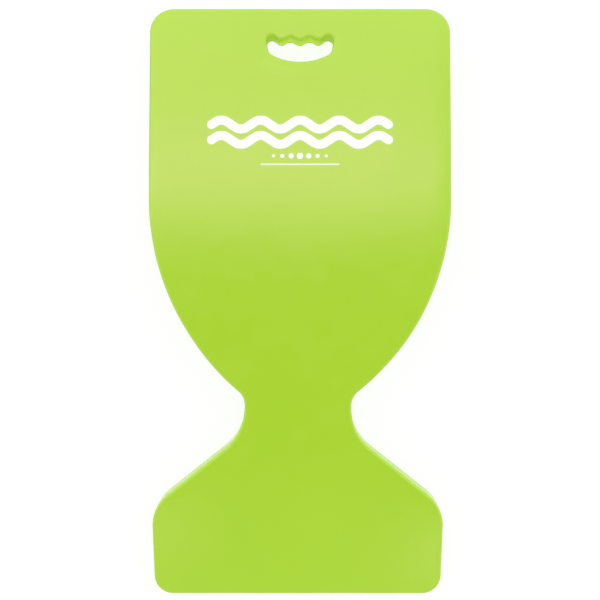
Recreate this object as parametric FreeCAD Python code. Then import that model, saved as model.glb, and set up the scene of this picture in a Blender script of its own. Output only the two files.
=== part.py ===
import FreeCAD, Part
import math
import os

# A foam pool saddle: one bowed slab of closed-cell foam with a seamless vinyl skin, a crescent hand
# hold and a screen-printed motif. All lengths are millimetres.
#
# Frame: +X across the pad, +Y along it towards the hand hold, +Z up. The pad lies on its back on the
# floor, front face up, and the origin is at the middle of its footprint.
#
# The slab is die-cut flat and then takes a gentle bow along its length. Outlines are drawn on the flat
# slab as (u, v), u across it and v along it from its middle. The rim is bent about the bow's axis, and
# the smaller outlines are stood square to the bowed face at their own middle. A corner is written as
# (u, v, radius), and is rounded by an arc of that radius.

# Slab
half_length = 420.0
thickness = 31.75
edge_rounding = 4.0
bow_radius = 4500.0         # at mid-thickness
coat_thickness = 0.8
floor_flat = 0.8            # depth to which each end's lower edge is pressed flat by the floor

# Slab outline, right half, from the hand hold end to the seat end
body_half_width = 215.5
body_corner_radius = 34.0
body_taper_v = -20.5
body_taper_radius = 357.0
waist_half_width = 76.2
waist_start_v = -136.0
waist_start_radius = 25.0
waist_end_v = -185.3
waist_end_radius = 75.0
seat_shoulder_half_width = 209.0
seat_shoulder_v = -292.0
seat_shoulder_radius = 58.0
seat_end_half_width = 205.0
seat_corner_radius = 27.0

# Hand hold, right half: a curved lower side, and an upper side with four finger scallops
hold_middle_v = 362.0
hold_floor_v = 333.0
hold_floor_radius = 86.0
hold_side_u = 44.7
hold_side_v = 354.8
hold_side_radius = 10.0
hold_end_u = 51.8
hold_end_v = 392.3
hold_end_radius = 7.5
finger_pitch = 27.8
finger_ridge_v = 372.7
finger_ridge_radius = 7.8
finger_scallop_v = 380.1
finger_scallop_radius = 11.3

# Screen print: two wave ribbons, a row of bubbles and a rule
ink_thickness = 0.1
print_middle_v = 240.0
bend_count = 9              # odd, so that the ribbons are alike on both sides
bend_pitch = 28.0
bend_height = 9.5
bend_radius = 15.0
ribbon_width = 13.0
ribbon_spacing = 22.0
bubble_row_v = 206.0
bubble_count = 7
bubble_pitch = 12.5
bubble_middle_radius = 4.6
bubble_radius_step = 0.8
rule_v = 194.0
rule_length = 112.0
rule_width = 1.8
rule_corner_radius = 0.6

# Worked out from the sizes above
back_radius = bow_radius - thickness / 2
front_radius = bow_radius + thickness / 2
end_angle = half_length / bow_radius
lower_rounding_angle = (half_length - edge_rounding) / bow_radius
lowest_over_axis = (back_radius + edge_rounding) * math.cos(lower_rounding_angle) - edge_rounding
axis_z = -floor_flat - lowest_over_axis

# Working allowances
tool_margin = 10.0          # how far the cutting shapes reach past the slab
samples_per_edge = 9        # points that carry each edge of the rim onto the bow
on_face_tolerance = 0.01


def slab_corners():
    right_half = [
        (body_half_width, half_length, body_corner_radius),
        (body_half_width, body_taper_v, body_taper_radius),
        (waist_half_width, waist_start_v, waist_start_radius),
        (waist_half_width, waist_end_v, waist_end_radius),
        (seat_shoulder_half_width, seat_shoulder_v, seat_shoulder_radius),
        (seat_end_half_width, -half_length, seat_corner_radius),
    ]
    left_half = [(-u, v, radius) for u, v, radius in reversed(right_half)]
    return right_half + left_half


def hold_corners():
    right_half = [
        (hold_side_u, hold_side_v, hold_side_radius),
        (hold_end_u, hold_end_v, hold_end_radius),
        (finger_pitch, finger_ridge_v, finger_ridge_radius),
        (finger_pitch / 2, finger_scallop_v, finger_scallop_radius),
    ]
    left_half = [(-u, v, radius) for u, v, radius in reversed(right_half)]
    lower_middle = (0.0, hold_floor_v, hold_floor_radius)
    upper_middle = (0.0, finger_ridge_v, finger_ridge_radius)
    return [lower_middle] + right_half + [upper_middle] + left_half


def rounded_corner(before, corner, after, radius):
    """Start, middle and end of the arc that rounds a corner between its two neighbours."""
    to_before = (before - corner).normalize()
    to_after = (after - corner).normalize()
    half_opening = to_before.getAngle(to_after) / 2
    setback = radius / math.tan(half_opening)
    bisector = (to_before + to_after).normalize()
    middle = corner + bisector * (radius / math.sin(half_opening) - radius)
    return corner + to_before * setback, middle, corner + to_after * setback


def closed_outline(corners):
    """Flat closed wire through the corners: straight edges joined by the corners' arcs."""
    points = [FreeCAD.Vector(u, v, 0) for u, v, radius in corners]
    count = len(points)
    arcs = []
    for index, corner in enumerate(points):
        before = points[index - 1]
        after = points[(index + 1) % count]
        arcs.append(rounded_corner(before, corner, after, corners[index][2]))
    edges = []
    for index, (start, middle, end) in enumerate(arcs):
        next_start = arcs[(index + 1) % count][0]
        edges.append(Part.Arc(start, middle, end).toShape())
        edges.append(Part.makeLine(end, next_start))
    return Part.Wire(edges)


def bent_wire(outline, height):
    """The outline carried along the bow's radii onto the level plane at this height over the axis."""
    edges = []
    for edge in outline.OrderedEdges:
        first, last = edge.ParameterRange
        points = []
        for step in range(samples_per_edge):
            flat = edge.valueAt(first + (last - first) * step / (samples_per_edge - 1))
            points.append(FreeCAD.Vector(flat.x, height * math.tan(flat.y / bow_radius), axis_z + height))
        directions = []
        for parameter in (first, last):
            flat = edge.valueAt(parameter)
            direction = edge.tangentAt(parameter)
            stretch = height / bow_radius / math.cos(flat.y / bow_radius) ** 2
            directions.append(FreeCAD.Vector(direction.x, direction.y * stretch, 0))
        curve = Part.BSplineCurve()
        curve.interpolate(Points=points, InitialTangent=directions[0], FinalTangent=directions[1])
        edges.append(curve.toShape())
    return Part.Wire(edges)


def bent_prism(outline):
    """Solid inside the outline whose walls are square to the bowed faces all the way round."""
    lower = bent_wire(outline, back_radius * math.cos(end_angle) - tool_margin)
    upper = bent_wire(outline, front_radius + tool_margin)
    return Part.makeLoft([lower, upper], True, True)


def straight_prism(outline, middle_v):
    """Solid inside the outline, stood square to the bowed faces at middle_v along the slab."""
    face = Part.Face(outline)
    face.translate(FreeCAD.Vector(0, -middle_v, axis_z + back_radius - tool_margin))
    prism = face.extrude(FreeCAD.Vector(0, 0, thickness + 2 * tool_margin))
    axis_point = FreeCAD.Vector(0, 0, axis_z)
    prism.rotate(axis_point, FreeCAD.Vector(1, 0, 0), -math.degrees(middle_v / bow_radius))
    return prism


def bowed_sheet(inner_radius, outer_radius):
    """Sheet between two radii about the bow's axis, wider and longer than the slab."""
    reach = (half_length + tool_margin) / bow_radius
    half_width = body_half_width + tool_margin

    def section_point(radius, angle):
        return FreeCAD.Vector(-half_width, radius * math.sin(angle), axis_z + radius * math.cos(angle))

    inner = [section_point(inner_radius, angle) for angle in (-reach, 0, reach)]
    outer = [section_point(outer_radius, angle) for angle in (reach, 0, -reach)]
    section = Part.Wire([
        Part.Arc(*inner).toShape(),
        Part.makeLine(inner[2], outer[0]),
        Part.Arc(*outer).toShape(),
        Part.makeLine(outer[2], inner[0]),
    ])
    return Part.Face(section).extrude(FreeCAD.Vector(2 * half_width, 0, 0))


def lies_at_radius(edge, radius):
    first, last = edge.ParameterRange
    points = [edge.valueAt(parameter) for parameter in (first, (first + last) / 2, last)]
    errors = [abs(math.hypot(point.y, point.z - axis_z) - radius) for point in points]
    return max(errors) < on_face_tolerance


def slab(inset):
    """The bowed slab with its hand hold, rounded edges and floor flats, shrunk inwards by inset."""
    inner_radius = back_radius + inset
    outer_radius = front_radius - inset
    rim = closed_outline(slab_corners())
    hold = closed_outline(hold_corners())
    if inset > 0:
        rim = rim.makeOffset2D(-inset)
        hold = hold.makeOffset2D(inset)
    solid = bowed_sheet(inner_radius, outer_radius).common(bent_prism(rim))
    solid = solid.cut(straight_prism(hold, hold_middle_v)).Solids[0]
    sharp_edges = [
        edge for edge in solid.Edges
        if lies_at_radius(edge, inner_radius) or lies_at_radius(edge, outer_radius)
    ]
    solid = solid.makeFillet(edge_rounding - inset, sharp_edges)
    room = 2 * half_length
    below_floor = Part.makeBox(2 * room, 2 * room, room, FreeCAD.Vector(-room, -room, inset - room))
    return solid.cut(below_floor).Solids[0]


def ribbon_outline(middle_v):
    """Outline of one wave ribbon: a zigzag with rounded bends, widened, with round ends."""
    half_reach = bend_count * bend_pitch / 2
    start = FreeCAD.Vector(-half_reach, middle_v, 0)
    end = FreeCAD.Vector(half_reach, middle_v, 0)
    bends = []
    for index in range(bend_count):
        side = 1 if index % 2 == 0 else -1
        across = bend_pitch * (index + 0.5) - half_reach
        bends.append(FreeCAD.Vector(across, middle_v + side * bend_height, 0))
    points = [start] + bends + [end]
    edges = []
    reached = start
    for before, bend, after in zip(points, bends, points[2:]):
        arc_start, arc_middle, arc_end = rounded_corner(before, bend, after, bend_radius)
        edges.append(Part.makeLine(reached, arc_start))
        edges.append(Part.Arc(arc_start, arc_middle, arc_end).toShape())
        reached = arc_end
    edges.append(Part.makeLine(reached, end))
    return Part.Wire(edges).makeOffset2D(ribbon_width / 2)


def bubble_outline(index):
    from_middle = index - (bubble_count - 1) / 2
    radius = bubble_middle_radius - bubble_radius_step * abs(from_middle)
    centre = FreeCAD.Vector(from_middle * bubble_pitch, bubble_row_v, 0)
    return Part.Wire(Part.makeCircle(radius, centre))


def rule_outline():
    corners = [
        (across * rule_length / 2, rule_v + along * rule_width / 2, rule_corner_radius)
        for across, along in [(1, 1), (1, -1), (-1, -1), (-1, 1)]
    ]
    return closed_outline(corners)


def make_front_print():
    """Ink film on the front face, one solid for each island of the motif."""
    outlines = [
        ribbon_outline(print_middle_v + ribbon_spacing / 2),
        ribbon_outline(print_middle_v - ribbon_spacing / 2),
        rule_outline(),
    ]
    outlines += [bubble_outline(index) for index in range(bubble_count)]
    film = bowed_sheet(front_radius, front_radius + ink_thickness)
    islands = [film.common(straight_prism(outline, print_middle_v)).Solids[0] for outline in outlines]
    return Part.makeCompound(islands)


def main():
    outside = slab(0.0)
    foam_core = slab(coat_thickness)
    nodes = {
        "foam_core": foam_core,
        "vinyl_coat": outside.cut(foam_core),
        "front_print": make_front_print(),
    }
    os.makedirs("parts", exist_ok=True)
    for name, shape in nodes.items():
        shape.exportStep("parts/" + name + ".step")


main()
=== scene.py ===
import math

import bpy
import numpy as np
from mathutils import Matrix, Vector, geometry, kdtree, noise


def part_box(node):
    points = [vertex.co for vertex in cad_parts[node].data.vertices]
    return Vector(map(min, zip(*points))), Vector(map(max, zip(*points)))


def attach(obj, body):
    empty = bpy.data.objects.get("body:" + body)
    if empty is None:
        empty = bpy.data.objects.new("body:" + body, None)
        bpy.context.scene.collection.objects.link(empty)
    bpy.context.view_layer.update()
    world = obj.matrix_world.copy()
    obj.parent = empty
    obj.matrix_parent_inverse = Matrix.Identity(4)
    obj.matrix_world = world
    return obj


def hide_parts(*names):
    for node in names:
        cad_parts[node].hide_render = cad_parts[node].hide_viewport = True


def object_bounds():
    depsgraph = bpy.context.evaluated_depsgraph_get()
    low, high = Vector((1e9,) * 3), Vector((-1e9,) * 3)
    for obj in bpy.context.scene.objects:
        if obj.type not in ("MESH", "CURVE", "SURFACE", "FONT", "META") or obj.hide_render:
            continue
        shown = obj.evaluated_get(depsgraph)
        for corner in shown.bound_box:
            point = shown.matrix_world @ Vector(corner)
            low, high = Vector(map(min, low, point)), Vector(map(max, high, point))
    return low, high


# A vinyl-dipped foam pool saddle, lying on its back on a pale floor. Metres throughout.
#
# Every piece is worked out on the flat slab, as (u, v, w): across it, along it, and out from its middle
# surface. The bow, the outlines and the thicknesses are read from the CAD nodes, and Slab.bend() carries
# the finished points onto the bow.

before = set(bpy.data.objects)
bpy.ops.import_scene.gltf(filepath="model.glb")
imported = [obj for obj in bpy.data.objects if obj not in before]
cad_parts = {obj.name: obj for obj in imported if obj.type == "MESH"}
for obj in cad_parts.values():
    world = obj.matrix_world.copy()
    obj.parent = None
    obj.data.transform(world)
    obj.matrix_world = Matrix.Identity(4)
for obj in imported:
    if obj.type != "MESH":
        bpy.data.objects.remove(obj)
cad_low, cad_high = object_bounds()
core_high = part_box("foam_core")[1]

MM = 0.001

# Sizes read from the CAD
half_width = cad_high.x
half_length = cad_high.y
coat_thickness = cad_high.x - core_high.x

# Reading the CAD meshes
nearly_level = 0.995        # a normal's Z on the bowed faces is at least this
same_level = 0.004 * MM
weld_decimals = 6

# Mesh density
outline_spacing = 2.5 * MM
cap_spacing = 5.0 * MM
ink_outline_spacing = 0.7 * MM
ink_cap_spacing = 3.0 * MM
detail_spacing = 0.8 * MM   # around the crease and the pip
detail_reach = 8.0 * MM
rounding_steps = 6
wall_steps = 8
cap_support = 0.8 * MM      # a ring this far inside the rounding keeps the caps' shading flat
ink_support = 0.15 * MM
rim_margin = 1 / 2          # of a cap's spacing, kept clear inside its boundary
detail_margin = 1 / 3       # of a cap's spacing, kept clear outside the finer spacing
meshing_nearness = 1e-5     # millimetres, under which two corners of a cap are taken as one

# Softness of the slab
crown_drop = 0.5 * MM       # how far the faces fall towards the rim
crown_reach = 24.0 * MM
swell_height = 0.22 * MM    # broad swells of the foam sheet
swell_size = 110.0 * MM
dimple_height = 0.05 * MM   # shallow dimples of the foam sheet
dimple_size = 26.0 * MM
wall_wave_height = 0.15 * MM
wall_wave_size = 45.0 * MM
wall_hollow = 0.4 * MM      # how far the die-cut wall springs in between its edges
front_seed = 3.1            # of the swells and dimples
back_seed = 19.7

# The seat end lies a little to the left of the upper body
sway = 3.4 * MM
sway_start_v = -0.07 * half_length
sway_end_v = -0.45 * half_length

# The walls above the seat's shoulders are cut out of square: their front edge lies nearer to the seat
# end than their back edge, so they show from the front
shoulder_slant = 2.7 * MM
slant_start_v = -0.31 * half_length
slant_full_v = -0.44 * half_length
slant_fade_v = -0.68 * half_length
slant_end_v = -0.82 * half_length

# A faint crease that follows the hand hold's lower side: a low ridge, steeper below than above
crease_gap = 14.0 * MM
crease_radius = 120.0 * MM
crease_start_angle = -0.50  # radians about the arc's centre, from its point nearest to the seat end
crease_end_angle = 0.10
crease_points = 60
crease_height = 0.50 * MM
crease_upper_width = 6.0 * MM
crease_lower_width = 4.0 * MM
crease_rise = 8.0           # it starts sharply on the left and dies away to the right
crease_fall = 1.4

# A pip of dried vinyl near the seat end's left corner
pip_u = -0.70 * half_width
pip_v = -0.91 * half_length
pip_radius = 1.5 * MM
pip_height = 0.5 * MM

# Fit of the pieces
core_gap = 0.05 * MM        # room between the foam and the inside of the vinyl
ink_sink = 0.03 * MM        # how deep the ink film sits in the vinyl
ink_rounding = 0.02 * MM

# Most of a noise node's values lie between these
noise_low = 0.3
noise_high = 0.7

# Vinyl
vinyl_deep = (0.404, 0.686, 0.012)
vinyl_light = (0.416, 0.698, 0.016)
vinyl_tone_size = 160.0 * MM
vinyl_smooth = 0.21         # roughness of its smoother and its rougher patches
vinyl_rough = 0.27
vinyl_patch_size = 30.0 * MM
vinyl_uneven_size = 12.0 * MM
vinyl_uneven_depth = 0.12 * MM
orange_peel_size = 1.1 * MM
orange_peel_depth = 0.012 * MM
vinyl_ior = 1.5

# Foam
foam_shade = (0.80, 0.82, 0.78)
foam_light = (0.90, 0.91, 0.88)
foam_tone_size = 20.0 * MM
foam_cell_size = 0.9 * MM
foam_cell_depth = 0.12 * MM
foam_rough = 0.9

# Ink
ink_thin = (0.86, 0.93, 0.72)
ink_full = (0.96, 0.96, 0.95)
ink_spot_size = 6.0 * MM
ink_spot_low = 0.2          # noise at which the ink is thinnest, and from which it is full
ink_spot_high = 0.45
ink_grain_size = 0.5 * MM
ink_grain_depth = 0.01 * MM
ink_rough = 0.55

# Floor
floor_size = 12.0
floor_gap = 0.2 * MM
floor_shade = (0.15, 0.15, 0.15)
floor_light = (0.17, 0.17, 0.17)
floor_tone_size = 0.5
floor_rough = 0.9
floor_glow_seen = 0.86      # as the camera sees the floor
floor_glow_cast = 0.88      # as it lights matt surfaces
# The floor as glossy surfaces see it dims from the seat end to the hand hold end: painted shade,
# standing for the shadow under the hand hold
floor_sheen_seat = 0.95     # as glossy surfaces see it, at the seat end and at the hand hold end
floor_sheen_hold_shaded = 0.22
sheen_fade_start_y = 0.35 * half_length
sheen_fade_end_y = 0.70 * half_length

# Light that the floor throws up into the hand hold, from just inside its lower edge
hold_glow = 1.7
hold_glow_colour = (1.0, 0.62, 0.25)
hold_glow_inset = 8.0 * MM

# Room. A height is the cosine of a direction's angle from straight up.
room_backdrop = 0.99        # what the camera sees behind the floor
room_brightness = 0.99      # what lights matt surfaces, from all round
room_lean = 0.18            # how much brighter it is towards the hand hold end
seen_room = [               # (height, brightness) of the room as glossy surfaces see it
    (0.0, 0.9),
    (0.25, 1.6),
    (0.55, 2.2),
    (0.80, 2.0),
    (0.93, 0.9),
    (0.98, 0.3),
]
seen_room_lean = 0.65       # the same lean, as glossy surfaces see it

# Soft panels over the pad, which show as sheen: name, left, right, near and far edges, brightness
sheen_colour = (1.0, 0.50, 0.82)
sheen_height = 2.1
sheen_panels = [
    ("key_panel", -1.50, 0.60, 0.40, 0.80, 4.8),
    ("far_panel", -1.50, 0.68, 0.80, 1.65, 1.95),
    ("left_panel", -0.60, -0.42, -1.20, -0.98, 5.0),
    ("right_panel", 0.40, 0.66, -1.38, -1.12, 3.8),
]
light_power = math.pi       # watts per square metre for a brightness of 1

# Camera, straight above the pad
camera_distance = 1.5       # over the pad's highest point
camera_sensor = 36.0
camera_y = 1.7 * MM
picture_fill = 0.9882       # share of the picture's height that the pad's length takes
camera_lens = camera_sensor * camera_distance * picture_fill / (2 * half_length)


def fit_bow(points):
    """Axis height and radius of the bow that runs through the points."""
    unknowns = np.column_stack([2 * points[:, 2], np.ones(len(points))])
    squares = points[:, 1] ** 2 + points[:, 2] ** 2
    axis_z, constant = np.linalg.lstsq(unknowns, squares, rcond=None)[0]
    return axis_z, math.sqrt(constant + axis_z**2)


def smooth_step(share):
    """The share held between 0 and 1, and eased at both ends."""
    share = np.clip(share, 0, 1)
    return share * share * (3 - 2 * share)


def cad_points(node):
    """Corners of a CAD node's mesh."""
    return np.array([vertex.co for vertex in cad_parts[node].data.vertices])


class Slab:
    """The bow and the flat measures of the slab, read from the vinyl coat's CAD node."""

    def __init__(self, node):
        points = cad_points(node)
        facing = np.array([vertex.normal.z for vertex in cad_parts[node].data.vertices])
        above = points[:, 2] > cad_high.z / 2
        front = points[above & (facing > nearly_level)]
        back = points[~above & (facing < -nearly_level)]
        self.axis_z, self.front_radius = fit_bow(front)
        # Fitted again to the nearer half, without the points that lie on the rounding
        off_face = np.abs(np.hypot(front[:, 1], front[:, 2] - self.axis_z) - self.front_radius)
        self.axis_z, self.front_radius = fit_bow(front[off_face <= np.median(off_face)])
        self.back_radius = float(np.median(np.hypot(back[:, 1], back[:, 2] - self.axis_z)))
        self.middle_radius = (self.front_radius + self.back_radius) / 2
        self.front_w = (self.front_radius - self.back_radius) / 2

    def flatten(self, points):
        """CAD points as (u, v, w) on the flat slab."""
        angle = np.arctan2(points[:, 1], points[:, 2] - self.axis_z)
        radius = np.hypot(points[:, 1], points[:, 2] - self.axis_z)
        return np.column_stack([points[:, 0], angle * self.middle_radius, radius - self.middle_radius])

    def bend(self, points, lowest):
        """Flat points swayed, slanted and carried onto the bow, and kept above the given height."""
        u, v, w = points.T
        swayed = smooth_step((sway_start_v - v) / (sway_start_v - sway_end_v))
        above_shoulder = smooth_step((slant_start_v - v) / (slant_start_v - slant_full_v))
        below_shoulder = smooth_step((v - slant_end_v) / (slant_fade_v - slant_end_v))
        from_back = np.clip((1 + w / self.front_w) / 2, 0, 1)
        across = u - sway * swayed
        along = v - shoulder_slant * from_back * above_shoulder * below_shoulder
        angle = along / self.middle_radius
        radius = w + self.middle_radius
        height = self.axis_z + radius * np.cos(angle)
        return np.column_stack([across, radius * np.sin(angle), np.maximum(height, lowest)])


slab = Slab("vinyl_coat")


# Outlines

def patch_outlines(node, level):
    """Outlines, as arrays of (u, v), of the node's patches that lie at height w = level."""
    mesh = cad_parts[node].data
    mesh.calc_loop_triangles()
    triangles = np.array([triangle.vertices for triangle in mesh.loop_triangles])
    points = np.round(slab.flatten(cad_points(node)), weld_decimals)
    welded, where = np.unique(points, axis=0, return_inverse=True)
    triangles = where.reshape(-1)[triangles]
    on_level = np.abs(welded[:, 2] - level) < same_level
    patch = triangles[on_level[triangles].all(axis=1)]
    sides = {(int(a), int(b)) for t in patch for a, b in ((t[0], t[1]), (t[1], t[2]), (t[2], t[0]))}
    following = {a: b for a, b in sorted(sides) if (b, a) not in sides}
    outlines = []
    while following:
        start = min(following)
        loop = [start]
        current = following.pop(start)
        while current != start:
            loop.append(current)
            current = following.pop(current)
        outlines.append(welded[loop, :2])
    return outlines


def smooth_outline(corners, spacing):
    """Points along the smooth closed curve through the corners, and the normals to its right."""
    ahead = np.roll(corners, -1, axis=0)
    tangents = ahead - np.roll(corners, 1, axis=0)
    tangents /= np.linalg.norm(tangents, axis=1)[:, None]
    points = []
    directions = []
    for start, end, leaving, arriving in zip(corners, ahead, tangents, np.roll(tangents, -1, axis=0)):
        length = np.linalg.norm(end - start)
        count = max(1, round(length / spacing))
        s = (np.arange(count) / count)[:, None]
        points.append(
            (2 * s**3 - 3 * s**2 + 1) * start + (s**3 - 2 * s**2 + s) * length * leaving
            + (3 * s**2 - 2 * s**3) * end + (s**3 - s**2) * length * arriving)
        directions.append(
            (6 * s**2 - 6 * s) * (start - end) + (3 * s**2 - 4 * s + 1) * length * leaving
            + (3 * s**2 - 2 * s) * length * arriving)
    points = np.vstack(points)
    directions = np.vstack(directions)
    directions /= np.linalg.norm(directions, axis=1)[:, None]
    return points, np.column_stack([directions[:, 1], -directions[:, 0]])


def distance_to(points, targets):
    """Distance from each (u, v) point to the nearest of the targets."""
    tree = kdtree.KDTree(len(targets))
    for index, target in enumerate(targets):
        tree.insert((target[0], target[1], 0), index)
    tree.balance()
    return np.array([tree.find((point[0], point[1], 0))[2] for point in points])


def inside(points, loops):
    """Which (u, v) points lie inside the loops, counting a loop within a loop as a hole."""
    crossings = np.zeros(len(points), int)
    for loop in loops:
        for a, b in zip(loop, np.roll(loop, -1, axis=0)):
            spans = (a[1] > points[:, 1]) != (b[1] > points[:, 1])
            if a[1] != b[1]:
                at = a[0] + (points[:, 1] - a[1]) * (b[0] - a[0]) / (b[1] - a[1])
                crossings += spans & (points[:, 0] < at)
    return crossings % 2 == 1


def hex_grid(low, high, spacing):
    """Evenly spread (u, v) points between two corners, in staggered rows."""
    rows = []
    row_step = spacing * math.sqrt(3) / 2
    for index, v in enumerate(np.arange(low[1], high[1], row_step)):
        u = np.arange(low[0] + (index % 2) * spacing / 2, high[0], spacing)
        rows.append(np.column_stack([u, np.full(len(u), v)]))
    return np.vstack(rows)


def outline_width(outline):
    return np.ptp(outline[:, 0])


hold_outline, rim_outline = sorted(patch_outlines("vinyl_coat", slab.front_w), key=outline_width)
rim_points, rim_normals = smooth_outline(rim_outline, outline_spacing)
hold_points, hold_normals = smooth_outline(hold_outline, outline_spacing / 2)
edge_rounding = half_width - rim_outline[:, 0].max()


# Relief of the faces

def noise_at(places):
    """Smooth noise of about -1 to 1 at each place, with features about 1 across."""
    return np.array([noise.noise(Vector(place)) for place in places])


def face_noise(points, size, seed):
    """Noise over a face's (u, v), with features of about this size."""
    return noise_at(np.column_stack([points / size, np.full(len(points), seed)]))


crease_centre_v = hold_points[:, 1].min() - crease_gap + crease_radius
crease_angles = np.linspace(crease_start_angle, crease_end_angle, crease_points)
crease = np.column_stack([
    crease_radius * np.sin(crease_angles),
    crease_centre_v - crease_radius * np.cos(crease_angles),
])
pip = np.array([(pip_u, pip_v)])


def face_relief(points, seed):
    """How far a face stands out from the CAD face at each (u, v)."""
    from_edge = distance_to(points, np.vstack([rim_points, hold_points]))
    crown = -crown_drop * (1 - np.clip(from_edge / crown_reach, 0, 1)) ** 2
    swell = swell_height * face_noise(points, swell_size, seed)
    return crown + swell + dimple_height * face_noise(points, dimple_size, seed)


def crease_relief(points):
    """The ridge along the crease's arc, which fades towards both of its ends."""
    inwards = crease_centre_v - points[:, 1]
    angle = np.arctan2(points[:, 0], inwards)
    share = (angle - crease_start_angle) / (crease_end_angle - crease_start_angle)
    fade = smooth_step(crease_rise * share) * smooth_step(crease_fall * (1 - share))
    below = np.hypot(points[:, 0], inwards) - crease_radius
    width = np.where(below > 0, crease_lower_width, crease_upper_width)
    return crease_height * fade * np.exp(-(below / width) ** 2)


def front_relief(points):
    pip_relief = pip_height * np.exp(-(distance_to(points, pip) / pip_radius) ** 2)
    return face_relief(points, front_seed) + crease_relief(points) + pip_relief


def back_relief(points):
    return -face_relief(points, back_seed)


def wall_shift(points, w, lean):
    """How far the soft wall stands out at height w, next to each (u, v) of its outline."""
    upright = 1 - abs(lean)
    places = np.column_stack([points, np.full(len(points), w)])
    wave = wall_wave_height * noise_at(places / wall_wave_size)
    hollow = wall_hollow * (1 - (w / slab.front_w) ** 2)
    return (upright * (wave - hollow))[:, None]


# Plates: closed solids with a front cap, a rounded rim and a back cap

def ring_profile(front, back, rounding, support):
    """(offset outwards, w, lean) of each ring: lean is 1 on the front cap and -1 on the back cap."""
    quarter = [math.pi / 2 * step / rounding_steps for step in range(rounding_steps + 1)]
    upper = [
        (rounding * math.sin(angle), front - rounding + rounding * math.cos(angle), math.cos(angle))
        for angle in quarter
    ]
    lower = [
        (rounding * math.cos(angle), back + rounding - rounding * math.sin(angle), -math.sin(angle))
        for angle in quarter
    ]
    shares = [step / wall_steps for step in range(1, wall_steps)]
    walls = [(rounding, (front - rounding) * (1 - s) + (back + rounding) * s, 0.0) for s in shares]
    return [(-support, front, 1.0)] + upper + walls + lower + [(-support, back, -1.0)]


def spread_points(boundary, spacing, details):
    """Points spread over the inside of the boundary, finely around the details."""
    joined = np.vstack(boundary)
    spread = hex_grid(joined.min(axis=0), joined.max(axis=0), spacing)
    if details is not None:
        low = details.min(axis=0) - detail_reach
        high = details.max(axis=0) + detail_reach
        fine = hex_grid(low, high, detail_spacing)
        fine = fine[distance_to(fine, details) < detail_reach]
        coarse = spread[distance_to(spread, details) > detail_reach + spacing * detail_margin]
        spread = np.vstack([coarse, fine])
    spread = spread[inside(spread, boundary)]
    return spread[distance_to(spread, joined) > spacing * rim_margin]


def cap_triangles(boundary, spread):
    """Triangles over a cap, which number the boundary's points before the spread ones."""
    numbered = np.vstack(boundary + [spread])
    sides = []
    first = 0
    for loop in boundary:
        sides += [(first + index, first + (index + 1) % len(loop)) for index in range(len(loop))]
        first += len(loop)
    inside_only = 1
    flat = [Vector((u, v)) / MM for u, v in numbered]
    meshed = geometry.delaunay_2d_cdt(flat, sides, [], inside_only, meshing_nearness)
    faces, sources = meshed[2], meshed[3]
    triangles = np.array([[sources[corner][0] for corner in face] for face in faces])
    triangles = triangles[inside(numbered[triangles].mean(axis=1), boundary)]
    first_side = numbered[triangles[:, 1]] - numbered[triangles[:, 0]]
    second_side = numbered[triangles[:, 2]] - numbered[triangles[:, 0]]
    clockwise = first_side[:, 0] * second_side[:, 1] < first_side[:, 1] * second_side[:, 0]
    triangles[clockwise] = triangles[clockwise][:, ::-1]
    return triangles


def side_faces(outlines, ring_count):
    """Faces from each ring to the next, all round every outline."""
    ring_size = sum(len(loop) for loop, _ in outlines)
    faces = []
    first = 0
    for loop, _ in outlines:
        count = len(loop)
        for ring in range(ring_count - 1):
            above = ring * ring_size + first
            below = above + ring_size
            for index in range(count):
                following = (index + 1) % count
                faces.append((above + index, below + index, below + following, above + following))
        first += count
    return faces


def build_plate(outlines, rings, reliefs, spacing, details, lowest, soft_wall):
    """Points and faces of a closed plate between the two reliefs, carried onto the bow."""
    front_relief_at, back_relief_at = reliefs
    support, front, _ = rings[0]
    back = rings[-1][1]
    boundary = [loop + outwards * support for loop, outwards in outlines]
    spread = spread_points(boundary, spacing, details)
    triangles = cap_triangles(boundary, spread)

    points = np.vstack([loop for loop, _ in outlines])
    normals = np.vstack([outwards for _, outwards in outlines])
    front_height = front_relief_at(points)
    back_height = back_relief_at(points)
    flat = []
    for offset, w, lean in rings:
        shift = offset + wall_shift(points, w, lean) if soft_wall else offset
        height = w + front_height * (1 + lean) / 2 + back_height * (1 - lean) / 2
        flat.append(np.column_stack([points + normals * shift, height]))
    flat.append(np.column_stack([spread, front + front_relief_at(spread)]))
    flat.append(np.column_stack([spread, back + back_relief_at(spread)]))

    ring_size = len(points)
    last_ring = (len(rings) - 1) * ring_size
    front_spread = len(rings) * ring_size
    back_spread = front_spread + len(spread)
    on_rim = triangles < ring_size
    front_cap = np.where(on_rim, triangles, triangles - ring_size + front_spread)
    back_cap = np.where(on_rim, triangles + last_ring, triangles - ring_size + back_spread)
    faces = front_cap.tolist() + back_cap[:, ::-1].tolist() + side_faces(outlines, len(rings))
    return slab.bend(np.vstack(flat), lowest), faces


def slab_plate(inset):
    """The slab's plate, shrunk inwards by inset, with rounded rim and soft walls."""
    rings = ring_profile(slab.front_w - inset, inset - slab.front_w, edge_rounding - inset, cap_support)
    outlines = [(rim_points, rim_normals), (hold_points, hold_normals)]
    details = np.vstack([crease, pip])
    reliefs = (front_relief, back_relief)
    return build_plate(outlines, rings, reliefs, cap_spacing, details, inset, True)


# Pieces

def make_piece(name, points, faces, node):
    """A piece that stands for a CAD node, and takes its finish from a slot."""
    mesh = bpy.data.meshes.new(name)
    mesh.from_pydata(points.tolist(), [], faces)
    mesh.shade_smooth()
    piece = bpy.data.objects.new(name, mesh)
    bpy.context.scene.collection.objects.link(piece)
    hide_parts(node)
    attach(piece, "root")
    return piece


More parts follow.
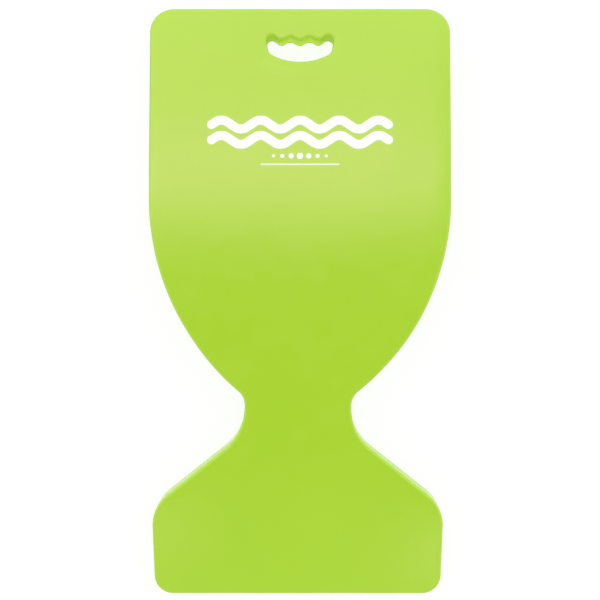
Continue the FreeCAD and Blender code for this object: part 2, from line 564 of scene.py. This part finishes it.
def make_vinyl_coat():
    """The dipped skin: an outer surface, and the cavity's surface turned inwards."""
    outer_points, outer_faces = slab_plate(0.0)
    inner_points, inner_faces = slab_plate(coat_thickness)
    first = len(outer_points)
    turned = [[first + corner for corner in reversed(face)] for face in inner_faces]
    points = np.vstack([outer_points, inner_points])
    return make_piece("vinyl_skin", points, outer_faces + turned, "vinyl_coat")


def make_foam_core():
    points, faces = slab_plate(coat_thickness + core_gap)
    return make_piece("foam_slab", points, faces, "foam_core")


def make_front_print():
    """The ink islands, each a thin plate that follows the front face's relief."""
    front = slab.flatten(cad_points("front_print"))[:, 2].max()
    rings = ring_profile(front, slab.front_w - ink_sink, ink_rounding, ink_support)
    reliefs = (front_relief, front_relief)
    all_points = []
    all_faces = []
    first = 0
    for outline in patch_outlines("front_print", front):
        smooth = smooth_outline(outline, ink_outline_spacing)
        points, faces = build_plate([smooth], rings, reliefs, ink_cap_spacing, None, 0.0, False)
        all_points.append(points)
        all_faces += [[first + corner for corner in face] for face in faces]
        first += len(points)
    return make_piece("wave_print", np.vstack(all_points), all_faces, "front_print")


# Materials

class NodeTree:
    """A node tree, with one call for each kind of node that the looks need."""

    def __init__(self, tree, coordinates):
        self.nodes = tree.nodes
        self.links = tree.links
        self.place = self.add("ShaderNodeTexCoord").outputs[coordinates]

    def add(self, kind):
        return self.nodes.new(kind)

    def feed(self, socket, value):
        """Link another socket to this one, or give it a plain value."""
        if isinstance(value, bpy.types.NodeSocket):
            self.links.new(value, socket)
        else:
            socket.default_value = value

    def noise(self, size, detail):
        """Noise whose features are about this size."""
        node = self.add("ShaderNodeTexNoise")
        self.feed(node.inputs["Vector"], self.place)
        self.feed(node.inputs["Scale"], 1 / size)
        self.feed(node.inputs["Detail"], detail)
        return node.outputs["Fac"]

    def cells(self, size):
        """Distance to the nearest of many scattered points that are about this far apart."""
        node = self.add("ShaderNodeTexVoronoi")
        self.feed(node.inputs["Vector"], self.place)
        self.feed(node.inputs["Scale"], 1 / size)
        return node.outputs["Distance"]

    def axis(self, name):
        """One coordinate of the place."""
        node = self.add("ShaderNodeSeparateXYZ")
        self.feed(node.inputs["Vector"], self.place)
        return node.outputs[name]

    def ramp(self, value, low, high, out_low, out_high):
        """The value, mapped so that low gives out_low and high gives out_high, and no further."""
        node = self.add("ShaderNodeMapRange")
        self.feed(node.inputs["Value"], value)
        self.feed(node.inputs["From Min"], low)
        self.feed(node.inputs["From Max"], high)
        self.feed(node.inputs["To Min"], out_low)
        self.feed(node.inputs["To Max"], out_high)
        return node.outputs["Result"]

    def blend(self, share, first, second):
        """Colour between two colours."""
        node = self.add("ShaderNodeMix")
        node.data_type = "RGBA"
        self.feed(node.inputs["Factor"], share)
        self.feed(node.inputs["A"], (*first, 1))
        self.feed(node.inputs["B"], (*second, 1))
        return node.outputs["Result"]

    def multiply_add(self, value, factor, extra):
        node = self.add("ShaderNodeMath")
        node.operation = "MULTIPLY_ADD"
        self.feed(node.inputs[0], value)
        self.feed(node.inputs[1], factor)
        self.feed(node.inputs[2], extra)
        return node.outputs["Value"]

    def for_rays(self, kind, value, otherwise):
        """A value for one kind of ray, and another for the rest."""
        node = self.add("ShaderNodeMix")
        self.feed(node.inputs["Factor"], self.add("ShaderNodeLightPath").outputs[kind])
        self.feed(node.inputs["A"], otherwise)
        self.feed(node.inputs["B"], value)
        return node.outputs["Result"]

    def bump(self, height, depth, below=None):
        """Normal of a bump of this depth, laid over the bump below it."""
        node = self.add("ShaderNodeBump")
        self.feed(node.inputs["Height"], height)
        self.feed(node.inputs["Distance"], depth)
        if below is not None:
            self.feed(node.inputs["Normal"], below)
        return node.outputs["Normal"]


def start_material(name):
    """A new material, its node tree and its surface's inputs."""
    material = bpy.data.materials.new(name)
    material.use_nodes = True
    tree = NodeTree(material.node_tree, "Object")
    return material, tree, tree.nodes["Principled BSDF"].inputs


def vinyl_material():
    """Satin dipped vinyl: a fine orange peel over soft unevenness, with a slightly uneven tone."""
    material, tree, surface = start_material("lime_vinyl")
    tone = tree.ramp(tree.noise(vinyl_tone_size, detail=3.0), noise_low, noise_high, 0.0, 1.0)
    patches = tree.noise(vinyl_patch_size, detail=4.0)
    uneven = tree.bump(tree.noise(vinyl_uneven_size, detail=2.0), vinyl_uneven_depth)
    peel = tree.bump(tree.noise(orange_peel_size, detail=1.0), orange_peel_depth, uneven)
    tree.feed(surface["Base Color"], tree.blend(tone, vinyl_deep, vinyl_light))
    tree.feed(surface["Roughness"], tree.ramp(patches, noise_low, noise_high, vinyl_smooth, vinyl_rough))
    tree.feed(surface["IOR"], vinyl_ior)
    tree.feed(surface["Normal"], peel)
    return material


def foam_material():
    """Closed-cell foam: pale, matt, and pitted with small cut cells."""
    material, tree, surface = start_material("closed_cell_foam")
    tone = tree.noise(foam_tone_size, detail=3.0)
    tree.feed(surface["Base Color"], tree.blend(tone, foam_shade, foam_light))
    tree.feed(surface["Roughness"], foam_rough)
    tree.feed(surface["Normal"], tree.bump(tree.cells(foam_cell_size), foam_cell_depth))
    return material


def ink_material():
    """Screen ink: white and nearly matt, with the faint grain of the screen and slight thin spots."""
    material, tree, surface = start_material("white_ink")
    cover = tree.ramp(tree.noise(ink_spot_size, detail=4.0), ink_spot_low, ink_spot_high, 0.0, 1.0)
    tree.feed(surface["Base Color"], tree.blend(cover, ink_thin, ink_full))
    tree.feed(surface["Roughness"], ink_rough)
    grain = tree.bump(tree.noise(ink_grain_size, detail=1.0), ink_grain_depth)
    tree.feed(surface["Normal"], grain)
    return material


def floor_material():
    """Pale backdrop that lights itself, fades in reflections towards the hand hold end as painted shade,
    and is clear from below.
    """
    material, tree, surface = start_material("pale_floor")
    # Painted shade: the floor as reflections see it darkens towards the hand hold end
    sheen = tree.ramp(
        tree.axis("Y"), sheen_fade_start_y, sheen_fade_end_y, floor_sheen_seat, floor_sheen_hold_shaded)
    glow = tree.for_rays("Is Camera Ray", floor_glow_seen, floor_glow_cast)
    glow = tree.for_rays("Is Glossy Ray", sheen, glow)
    tone = tree.noise(floor_tone_size, detail=2.0)
    tree.feed(surface["Base Color"], tree.blend(tone, floor_shade, floor_light))
    tree.feed(surface["Roughness"], floor_rough)
    tree.feed(surface["Specular IOR Level"], 0.0)
    tree.feed(surface["Emission Color"], (1, 1, 1, 1))
    tree.feed(surface["Emission Strength"], glow)
    choice = tree.add("ShaderNodeMixShader")
    tree.feed(choice.inputs[0], tree.add("ShaderNodeNewGeometry").outputs["Backfacing"])
    tree.feed(choice.inputs[1], tree.nodes["Principled BSDF"].outputs["BSDF"])
    tree.feed(choice.inputs[2], tree.add("ShaderNodeBsdfTransparent").outputs["BSDF"])
    tree.feed(tree.nodes["Material Output"].inputs["Surface"], choice.outputs["Shader"])
    return material


# Stage, light and camera

def make_floor():
    half = floor_size / 2
    corners = [(x * half, y * half, -floor_gap) for x, y in ((-1, -1), (1, -1), (1, 1), (-1, 1))]
    mesh = bpy.data.meshes.new("floor")
    mesh.from_pydata(corners, [], [(0, 1, 2, 3)])
    mesh.materials.append(floor_material())
    floor = bpy.data.objects.new("floor", mesh)
    bpy.context.scene.collection.objects.link(floor)


def make_light(name, low, high, height, colour, brightness):
    """Level rectangular light between two (x, y) corners, which the camera doesn't see."""
    light = bpy.data.lights.new(name, "AREA")
    light.shape = "RECTANGLE"
    light.size = high[0] - low[0]
    light.size_y = high[1] - low[1]
    light.color = colour
    light.energy = brightness * light.size * light.size_y * light_power
    lamp = bpy.data.objects.new(name, light)
    lamp.location = ((low[0] + high[0]) / 2, (low[1] + high[1]) / 2, height)
    lamp.visible_camera = False
    bpy.context.scene.collection.objects.link(lamp)
    return lamp


def make_sheen_panels():
    """Soft panels over the pad, which glossy surfaces reflect and matt ones ignore."""
    for name, left, right, near, far, brightness in sheen_panels:
        panel = make_light(name, (left, near), (right, far), sheen_height, sheen_colour, brightness)
        panel.visible_diffuse = False


def make_hold_glow():
    """Soft light that shines up inside the hand hold onto its walls."""
    low = hold_points.min(axis=0) + hold_glow_inset
    high = hold_points.max(axis=0) - hold_glow_inset
    lower_edge = np.append(low, edge_rounding - slab.front_w)
    height = slab.bend(lower_edge[None, :], 0.0)[0, 2]
    glow = make_light("hold_glow", low, high, height, hold_glow_colour, hold_glow)
    glow.rotation_euler = (math.pi, 0, 0)
    glow.visible_glossy = False


def make_room():
    """World light: soft for matt surfaces, and a dim ceiling over bright walls for glossy ones."""
    world = bpy.data.worlds.new("white_room")
    world.use_nodes = True
    tree = NodeTree(world.node_tree, "Generated")
    walls = tree.add("ShaderNodeValToRGB")
    walls.color_ramp.interpolation = "EASE"
    while len(walls.color_ramp.elements) < len(seen_room):
        walls.color_ramp.elements.new(1.0)
    for stop, (height, level) in zip(walls.color_ramp.elements, seen_room):
        stop.position = height
        stop.color = (level, level, level, 1)
    tree.feed(walls.inputs["Fac"], tree.axis("Z"))
    towards_hold = tree.axis("Y")
    lean = tree.multiply_add(towards_hold, seen_room_lean, 1.0)
    seen = tree.multiply_add(walls.outputs["Color"], lean, 0.0)
    soft = tree.multiply_add(towards_hold, room_brightness * room_lean, room_brightness)
    background = tree.nodes["Background"].inputs
    tree.feed(background["Color"], (1, 1, 1, 1))
    brightness = tree.for_rays("Is Glossy Ray", seen, soft)
    tree.feed(background["Strength"], tree.for_rays("Is Camera Ray", room_backdrop, brightness))
    bpy.context.scene.world = world


def make_camera():
    data = bpy.data.cameras.new("camera")
    data.lens = camera_lens
    data.sensor_width = camera_sensor
    camera = bpy.data.objects.new("camera", data)
    camera.location = (0, camera_y, cad_high.z + camera_distance)
    bpy.context.scene.collection.objects.link(camera)
    bpy.context.scene.camera = camera


# Scene

make_vinyl_coat().data.materials.append(vinyl_material())
make_foam_core().data.materials.append(foam_material())
make_front_print().data.materials.append(ink_material())

make_floor()
make_room()
make_sheen_panels()
make_hold_glow()
make_camera()
bpy.context.scene.view_settings.view_transform = "Standard"
